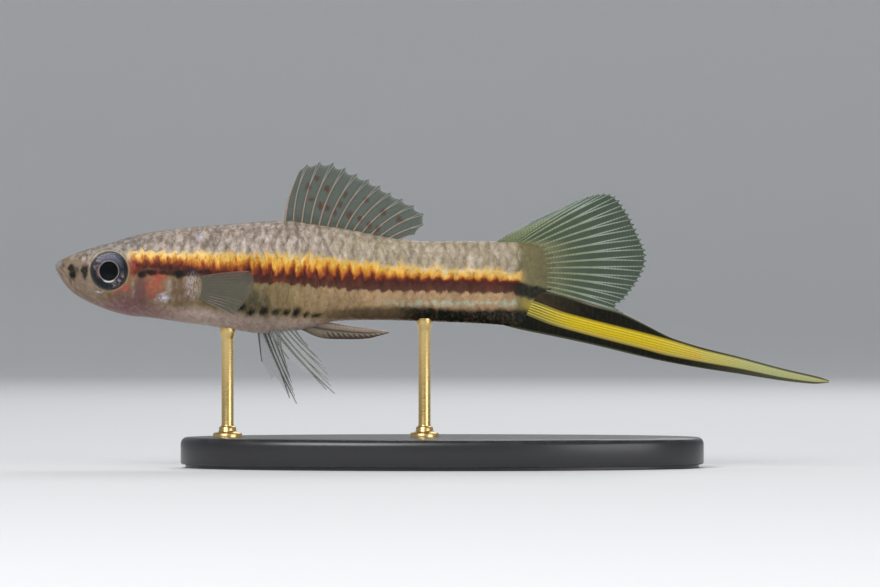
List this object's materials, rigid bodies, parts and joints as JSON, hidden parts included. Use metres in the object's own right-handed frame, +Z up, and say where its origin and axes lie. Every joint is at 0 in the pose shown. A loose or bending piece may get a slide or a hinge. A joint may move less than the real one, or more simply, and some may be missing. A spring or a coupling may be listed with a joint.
{
  "type": "male swordtail fish model",
  "caption": "Still life-size male swordtail fish with spread fins and a long sword below the tail fin, held over a flat oval base by two thin rods.",
  "frame": {"origin": "middle of the base's underside, where the model stands on a table", "axes": "-X the way the head points, +Y towards the fish's right side, +Z up"},
  "size_m": [0.1006, 0.032, 0.04],
  "materials": {
    "skin": "moist skin under fine scales, olive-grey back, orange and dark red stripe, pale belly",
    "gill_cover": "thin pearly gill cover with red showing through",
    "eye": "clear wet eye, dark blue-grey iris with a silver ring, black pupil",
    "fin": "clear grey-green web between jointed rays, dark red spots on the back fin",
    "sword": "bright yellow rays between black margins",
    "stand_base": "satin black",
    "stand_rod": "brushed"
  },
  "bodies": {
    "root": {"head": "skin", "lower_jaw": "skin", "torso": "skin", "tail_stalk": "skin", "gill_cover_left": "gill_cover", "gill_cover_right": "gill_cover", "eye_left": "eye", "eye_right": "eye", "dorsal_fin": "fin", "tail_fin": "fin", "sword": "sword", "gonopodium": "fin", "pelvic_fin_left": "fin", "pelvic_fin_right": "fin", "pectoral_fin_left": "fin", "pectoral_fin_right": "fin", "stand_base": "stand_base", "stand_rod_front": "stand_rod", "stand_rod_rear": "stand_rod"}
  },
  "joints": []
}
